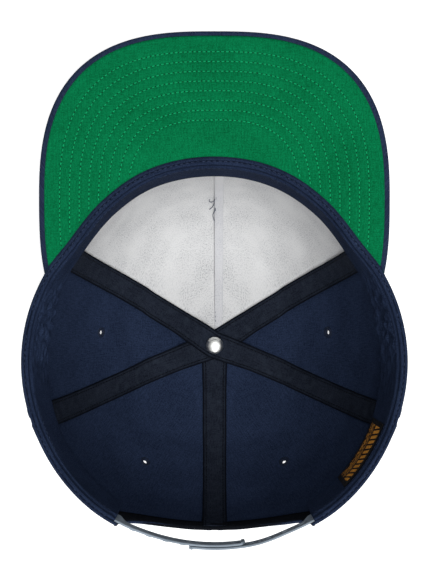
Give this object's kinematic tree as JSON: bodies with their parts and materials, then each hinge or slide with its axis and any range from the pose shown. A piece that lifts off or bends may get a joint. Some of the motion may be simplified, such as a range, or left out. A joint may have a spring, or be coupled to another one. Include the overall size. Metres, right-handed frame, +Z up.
{
  "type": "snapback cap",
  "caption": "Navy snapback cap with a green under-visor, white buckram front lining, taped seams, sweatband and a plastic snap strap, lying upside down on its crown.",
  "frame": {"origin": "on the floor under the middle of the cap's length and width; the cap lies upside down on its crown", "axes": "+Z up, from the crown's flat top on the floor to the open rim; +Y to the visor's tip; +X to the right when looking down into the cap with the visor away from the viewer"},
  "size_m": [0.1962, 0.2632, 0.1192],
  "materials": {
    "navy_twill": "matte",
    "sweatband": "matte",
    "buckram": "matte",
    "seam_tape": "matte",
    "green_twill": "matte",
    "strap_plastic": "satin",
    "rivet_metal": "polished",
    "label": "matte"
  },
  "bodies": {
    "root": {"front_panel_left": "navy_twill", "front_panel_right": "navy_twill", "side_panel_left": "navy_twill", "side_panel_right": "navy_twill", "back_panel_left": "navy_twill", "back_panel_right": "navy_twill", "visor_top": "navy_twill", "top_button": "navy_twill", "eyelet_side_left": "navy_twill", "eyelet_side_right": "navy_twill", "eyelet_back_left": "navy_twill", "eyelet_back_right": "navy_twill", "sweatband": "sweatband", "buckram_left": "buckram", "buckram_right": "buckram", "front_seam_strip": "buckram", "tape_front_left": "seam_tape", "tape_front_right": "seam_tape", "tape_side_left": "seam_tape", "tape_side_right": "seam_tape", "tape_back": "seam_tape", "visor_under": "green_twill", "strap_left": "strap_plastic", "strap_right": "strap_plastic", "button_rivet": "rivet_metal", "woven_label": "label"}
  },
  "joints": []
}
